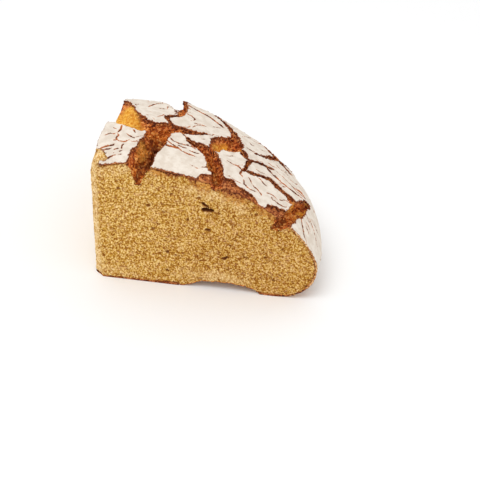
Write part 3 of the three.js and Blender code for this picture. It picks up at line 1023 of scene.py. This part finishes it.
# painted shade: the deepest clefts are darkened, where little light reaches
tone = f.mix(f.fade(inner, 9, 14, 0, 0.65), tone, rgb(84, 32, 12))
scorched = f.scale(grain, rgb(66, 24, 10), rgb(122, 58, 24), rgb(164, 92, 44), rgb(212, 140, 84))
tone = f.mix(f.fade(f.note("bake"), 0.8, 2.4, 0.8, 0), tone, scorched)
yellow = f.grains(1.1)
golden = f.scale(yellow, rgb(206, 124, 24), rgb(234, 166, 50), rgb(249, 202, 100))
tone = f.mix(f.note("gold"), tone, golden)
f.colour(tone)
f.bump(f.noise(0.8, 4, 0.7), 0.4)

# %% [markdown]
# The base baked against a floured sheet: an even brown in two tones, with dust that caught on it.
# It isn't seen while the loaf stands, so two patches of noise are enough.

# %% Finish: baked base
f = Finish("baked_base", roughness=0.8)
tone = f.mix(f.fade(f.noise(6), 0.35, 0.65), rgb(176, 112, 52), rgb(212, 160, 96))
tone = f.mix(f.fade(f.noise(2.5), 0.5, 0.7, 0, 0.6), tone, rgb(232, 218, 196))
f.colour(tone)
f.bump(f.noise(1.2, 4, 0.7), 0.4)

# %% [markdown]
# Flour lies on the crust as a dry, matt coat, off-white with warmer patches where it is thin. It
# stops short of a plate's edge and of every crack, where the toasted crust shows, so both edges
# are drawn from the distances that were kept on the mesh.

# %% Finish: flour
f = Finish("floured_crust", roughness=0.95, specular=0.1)
tone = f.mix(f.fade(f.noise(5), 0.35, 0.65), rgb(216, 203, 188), rgb(230, 220, 207))
tone = f.mix(f.fade(f.noise(1.3), 0.58, 0.72, 0, 0.5), tone, rgb(204, 180, 158))
edge = f.sums("ADD", f.note("rim"), f.fade(f.noise(1.8), 0.3, 0.7, -0.6, 0.6))
tone = f.mix(f.fade(edge, 0.0, 0.35, 0.9, 0), tone, rgb(128, 66, 36))
split = f.sums("ADD", f.note("crack"), f.fade(f.noise(1.2), 0.3, 0.7, -0.2, 0.2))
tone = f.mix(f.fade(split, 0.1, 0.4, 0.4, 0), tone, rgb(206, 146, 104))
groove = f.mix(f.fade(f.noise(5, 2), 0.42, 0.58), rgb(100, 48, 26), rgb(184, 108, 60))
tone = f.mix(f.fade(split, 0.0, 0.2, 1, 0), tone, groove)
f.colour(tone)
f.bump(f.noise(0.7, 4, 0.7), 0.12)

# %% [markdown]
# A plate's broken side shows the crust's own thickness, dark and grainy. Where the knife went
# through, the same crust is cut clean and paler, and the note on the cut tells the two apart.

# %% Finish: toasted edge
f = Finish("toasted_edge", roughness=0.8)
grain = f.grains(1.2)
tone = f.scale(grain, rgb(84, 32, 12), rgb(142, 66, 26), rgb(214, 140, 84))
pared = f.scale(grain, rgb(134, 72, 30), rgb(204, 146, 82), rgb(236, 198, 148))
share = f.sums("ADD", f.note("cut"), f.fade(f.noise(7, 2), 0.5, 0.7, -1, 0), clamp=True)
tone = f.mix(share, tone, pared)
f.colour(tone)
f.bump(f.noise(0.8, 4, 0.7), 0.3)

# %% [markdown]
# All three pieces are the cornbread itself: they ride on its only body and stand for its one
# solid.

# %% Tie the pieces to the frame
for piece, slot_name in ((crumb, "crumb"), (plates, "crust"), (far_plates, "crust")):
    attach(piece, "root")
    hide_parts("cornbread")

# %% [markdown]
# The bread stands on a plain white floor in a bright room. One wide, soft lamp hangs high above
# it, a little to the front and to the left, so the crumb's pits and the plates' edges get soft
# shadows. A long lens looks down on the front cut from a little to the right.

# %% Floor, light and camera
FLOOR_SIZE, FLOOR_WHITE = 6, 0.92
KEY_SPOT, KEY_ACROSS, KEY_WATTS = (-0.15, -0.62, 1.25), 0.8, 5
ROOM_STRENGTH = 0.95
CAMERA_AZIMUTH, CAMERA_ELEVATION = np.radians(11.48), np.radians(33.6)
CAMERA_DISTANCE = 1.084
CAMERA_AIM = Vector((cad_high.x * 0.1615, -0.2 * cad_high.y, 0))
SENSOR_WIDTH, LENS = 36, 118.05

bpy.ops.object.select_all(action="DESELECT")
bpy.ops.mesh.primitive_plane_add(size=FLOOR_SIZE)
floor = bpy.context.object
floor.name = "floor"
floor.data.materials.append(bpy.data.materials.new("floor_white"))
Finish("floor_white", roughness=0.9, specular=0.1).colour((FLOOR_WHITE,) * 3 + (1,))
floor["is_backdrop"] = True

bpy.ops.object.light_add(type="AREA", location=KEY_SPOT)
light = bpy.context.object
light.name = "key"
light.data.shape, light.data.size, light.data.energy = "DISK", KEY_ACROSS, KEY_WATTS
middle = (cad_low + cad_high) / 2
light.rotation_euler = (middle - Vector(KEY_SPOT)).to_track_quat("-Z", "Y").to_euler()
world = bpy.data.worlds.new("room")
bpy.context.scene.world = world
world.use_nodes = True
world.node_tree.nodes["Background"].inputs["Color"].default_value = (1, 1, 1, 1)
world.node_tree.nodes["Background"].inputs["Strength"].default_value = ROOM_STRENGTH
bpy.context.scene.view_settings.view_transform = "Standard"
back = Vector((np.sin(CAMERA_AZIMUTH) * np.cos(CAMERA_ELEVATION),
               -np.cos(CAMERA_AZIMUTH) * np.cos(CAMERA_ELEVATION), np.sin(CAMERA_ELEVATION)))
spot = CAMERA_AIM + CAMERA_DISTANCE * back
bpy.ops.object.camera_add(location=spot, rotation=(-back).to_track_quat("-Z", "Y").to_euler())
camera = bpy.context.object
camera.data.sensor_width, camera.data.lens = SENSOR_WIDTH, LENS
bpy.context.scene.camera = camera
print("key light", KEY_WATTS, "W, lens", LENS, "mm at", CAMERA_DISTANCE, "m")

# %% [markdown]
# Last, the size of the dressed bread is printed. The solid's size was printed at the start.

# %% Print the dressed size and finish
import json

low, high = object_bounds()
print("dressed box in mm:", [round(v / MM, 2) for v in (*low, *high)])
